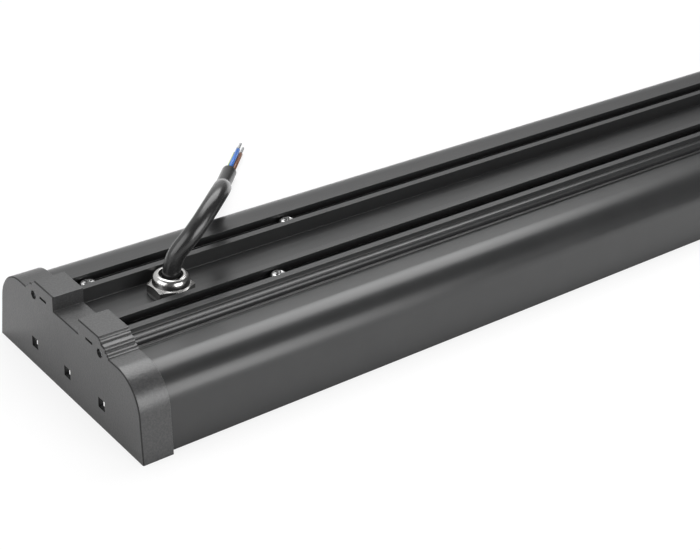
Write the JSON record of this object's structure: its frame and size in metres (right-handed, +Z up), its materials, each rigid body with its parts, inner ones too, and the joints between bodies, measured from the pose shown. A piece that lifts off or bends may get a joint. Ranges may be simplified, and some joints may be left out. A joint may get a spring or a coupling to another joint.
{
  "type": "linear high bay light",
  "caption": "Linear LED high bay light: black aluminium housing with slotted hanging rails on its back, moulded end caps, opal cover below, cable gland and short supply lead.",
  "frame": {"origin": "centre of the underside, on the plane the light rests on", "axes": "+X along the light towards the blank end, +Z up out of the back with the rails"},
  "size_m": [0.6, 0.2254, 0.0776],
  "materials": {
    "housing": "satin black",
    "cap": "fine grained black",
    "opal": "opal",
    "nickel": "satin nickel plating",
    "rubber": "matt",
    "sheath": "matt black sheath",
    "cores": "satin core insulation",
    "steel": "zinc plated",
    "white_plastic": "satin white",
    "board": "white solder mask",
    "led": "clear resin over phosphor",
    "driver_case": "satin white"
  },
  "bodies": {
    "root": {"housing": "housing", "opal_cover": "opal", "gland_washer": "rubber", "gland_body": "nickel", "gland_nut": "nickel", "gland_seal": "rubber", "gland_locknut": "nickel", "supply_lead": "sheath", "lead_tail": "sheath", "inner_cores": "cores", "bare_cores": "cores", "core_ferrules": "steel", "channel_screws": "steel", "terminal_bracket": "steel", "bracket_nuts": "steel", "terminal_block": "white_plastic", "terminal_screws": "steel", "driver_base": "driver_case", "driver_cover": "driver_case", "driver_screws": "steel", "driver_leads": "cores", "board_screws": "steel", "led_board_left": "board", "leds_left": "led", "led_board_middle": "board", "leds_middle": "led", "led_board_right": "board", "leds_right": "led", "end_cap_lead_end": "cap", "end_plate_lead_end": "white_plastic", "end_gasket_lead_end": "rubber", "cap_screws_lead_end": "steel", "end_cap_blank_end": "cap", "end_plate_blank_end": "white_plastic", "end_gasket_blank_end": "rubber", "cap_screws_blank_end": "steel"}
  },
  "joints": []
}
